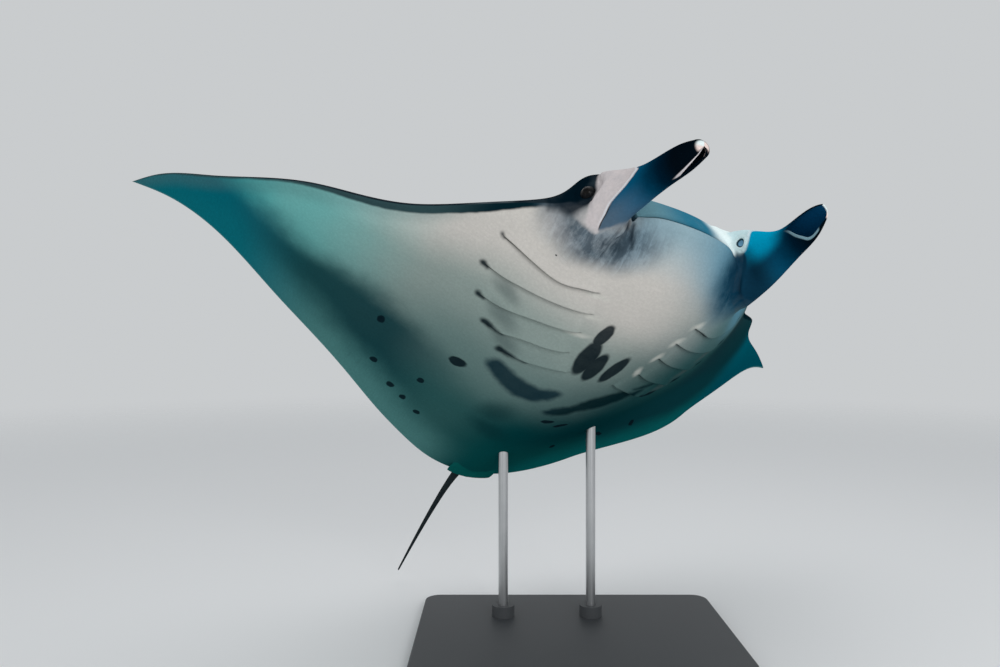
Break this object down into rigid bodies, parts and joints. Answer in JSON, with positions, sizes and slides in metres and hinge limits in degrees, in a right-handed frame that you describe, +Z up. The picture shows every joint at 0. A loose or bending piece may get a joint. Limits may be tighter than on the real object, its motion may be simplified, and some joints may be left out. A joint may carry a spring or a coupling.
{
  "type": "manta ray model",
  "caption": "Life-size still model of a banking reef manta ray, wings raised, held over a flat base by short steel rods.",
  "frame": {"origin": "middle of the flat underside of the stand's base, on the floor", "axes": "+Z up; +X across the base towards the animal's left-hand side of the head; -Y is the side from which the belly and the head are seen"},
  "size_m": [2.7099, 2.0815, 1.7143],
  "materials": {
    "skin_dark": "dark blue-grey skin, satin and slightly wet",
    "skin_pale": "pale grey-white belly skin, satin",
    "eye_gloss": "wet glossy black",
    "stand_paint": "dark grey powder coat",
    "rod_steel": "satin brushed steel"
  },
  "bodies": {
    "root": {"cephalic_fin_left": "skin_dark", "cephalic_fin_right": "skin_dark", "dorsal_fin": "skin_dark", "eye_left": "eye_gloss", "eye_right": "eye_gloss", "head": "skin_dark", "lower_jaw": "skin_pale", "pectoral_fin_left_inner": "skin_dark", "pectoral_fin_left_outer": "skin_dark", "pectoral_fin_right_inner": "skin_dark", "pectoral_fin_right_outer": "skin_dark", "pelvic_fin_left": "skin_dark", "pelvic_fin_right": "skin_dark", "stand_base": "stand_paint", "stand_rod_1": "rod_steel", "stand_rod_2": "rod_steel", "stand_socket_1": "stand_paint", "stand_socket_2": "stand_paint", "tail_root": "skin_dark", "tail_whip": "skin_dark", "trunk": "skin_pale"}
  },
  "joints": []
}
